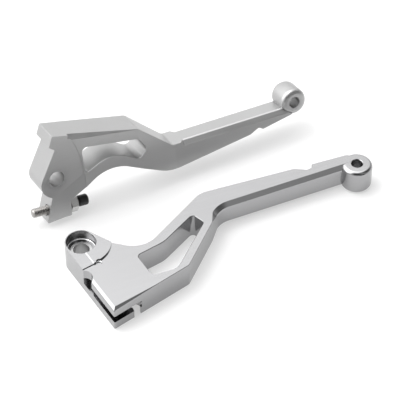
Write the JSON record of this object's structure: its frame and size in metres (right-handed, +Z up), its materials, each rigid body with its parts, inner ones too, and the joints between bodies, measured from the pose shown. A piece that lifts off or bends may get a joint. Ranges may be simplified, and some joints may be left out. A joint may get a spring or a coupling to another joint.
{
  "type": "pair of scooter hand levers",
  "caption": "Pair of milled aluminium scooter levers: a hydraulic brake lever with reach adjuster, and a cable lever with open bearing seat.",
  "frame": {"origin": "on the ground under the middle of the pair's box", "axes": "+X from the pivot ends to the ball ends, +Y from the cable lever to the brake lever, +Z up"},
  "size_m": [0.1728, 0.1075, 0.0508],
  "materials": {
    "polished_aluminium": "polished",
    "satin_aluminium": "satin",
    "bush_metal": "satin",
    "screw_steel": "oiled",
    "zinc_plate": "zinc plated",
    "black_plastic": "matte"
  },
  "bodies": {
    "cable_lever": {"cable_lever_body": "polished_aluminium", "cable_lever_bush": "bush_metal"},
    "brake_lever": {"brake_lever_body": "satin_aluminium", "brake_lever_bush": "bush_metal"},
    "adjuster_cap": {"adjuster_end_cap": "black_plastic"},
    "adjuster_screw": {"adjuster_screw": "screw_steel"},
    "adjuster_nut": {"adjuster_lock_nut": "zinc_plate"}
  },
  "joints": [
    {"name": "brake_lever_lift", "type": "slide", "parent": "cable_lever", "child": "brake_lever", "axis": [0, 0, 1], "range_m": [0, 0.06]},
    {"name": "adjuster_travel", "type": "slide", "parent": "brake_lever", "child": "adjuster_cap", "axis": [0.9946, 0.0672, -0.0791], "range_m": [-0.0008, 0.0032]},
    {"name": "adjuster_turn", "type": "hinge", "parent": "adjuster_cap", "child": "adjuster_screw", "pos_m": [-0.07263, 0.02756, 0.00722], "axis": [0.9946, 0.0672, -0.0791], "range_deg": [-360, 1440]},
    {"name": "lock_nut_turn", "type": "hinge", "parent": "brake_lever", "child": "adjuster_nut", "pos_m": [-0.07263, 0.02756, 0.00722], "axis": [0.9946, 0.0672, -0.0791], "range_deg": [0, 90]}
  ],
  "couplings": [
    {"joint": "adjuster_turn", "follows": "adjuster_travel", "rad_per_m": 7854}
  ]
}
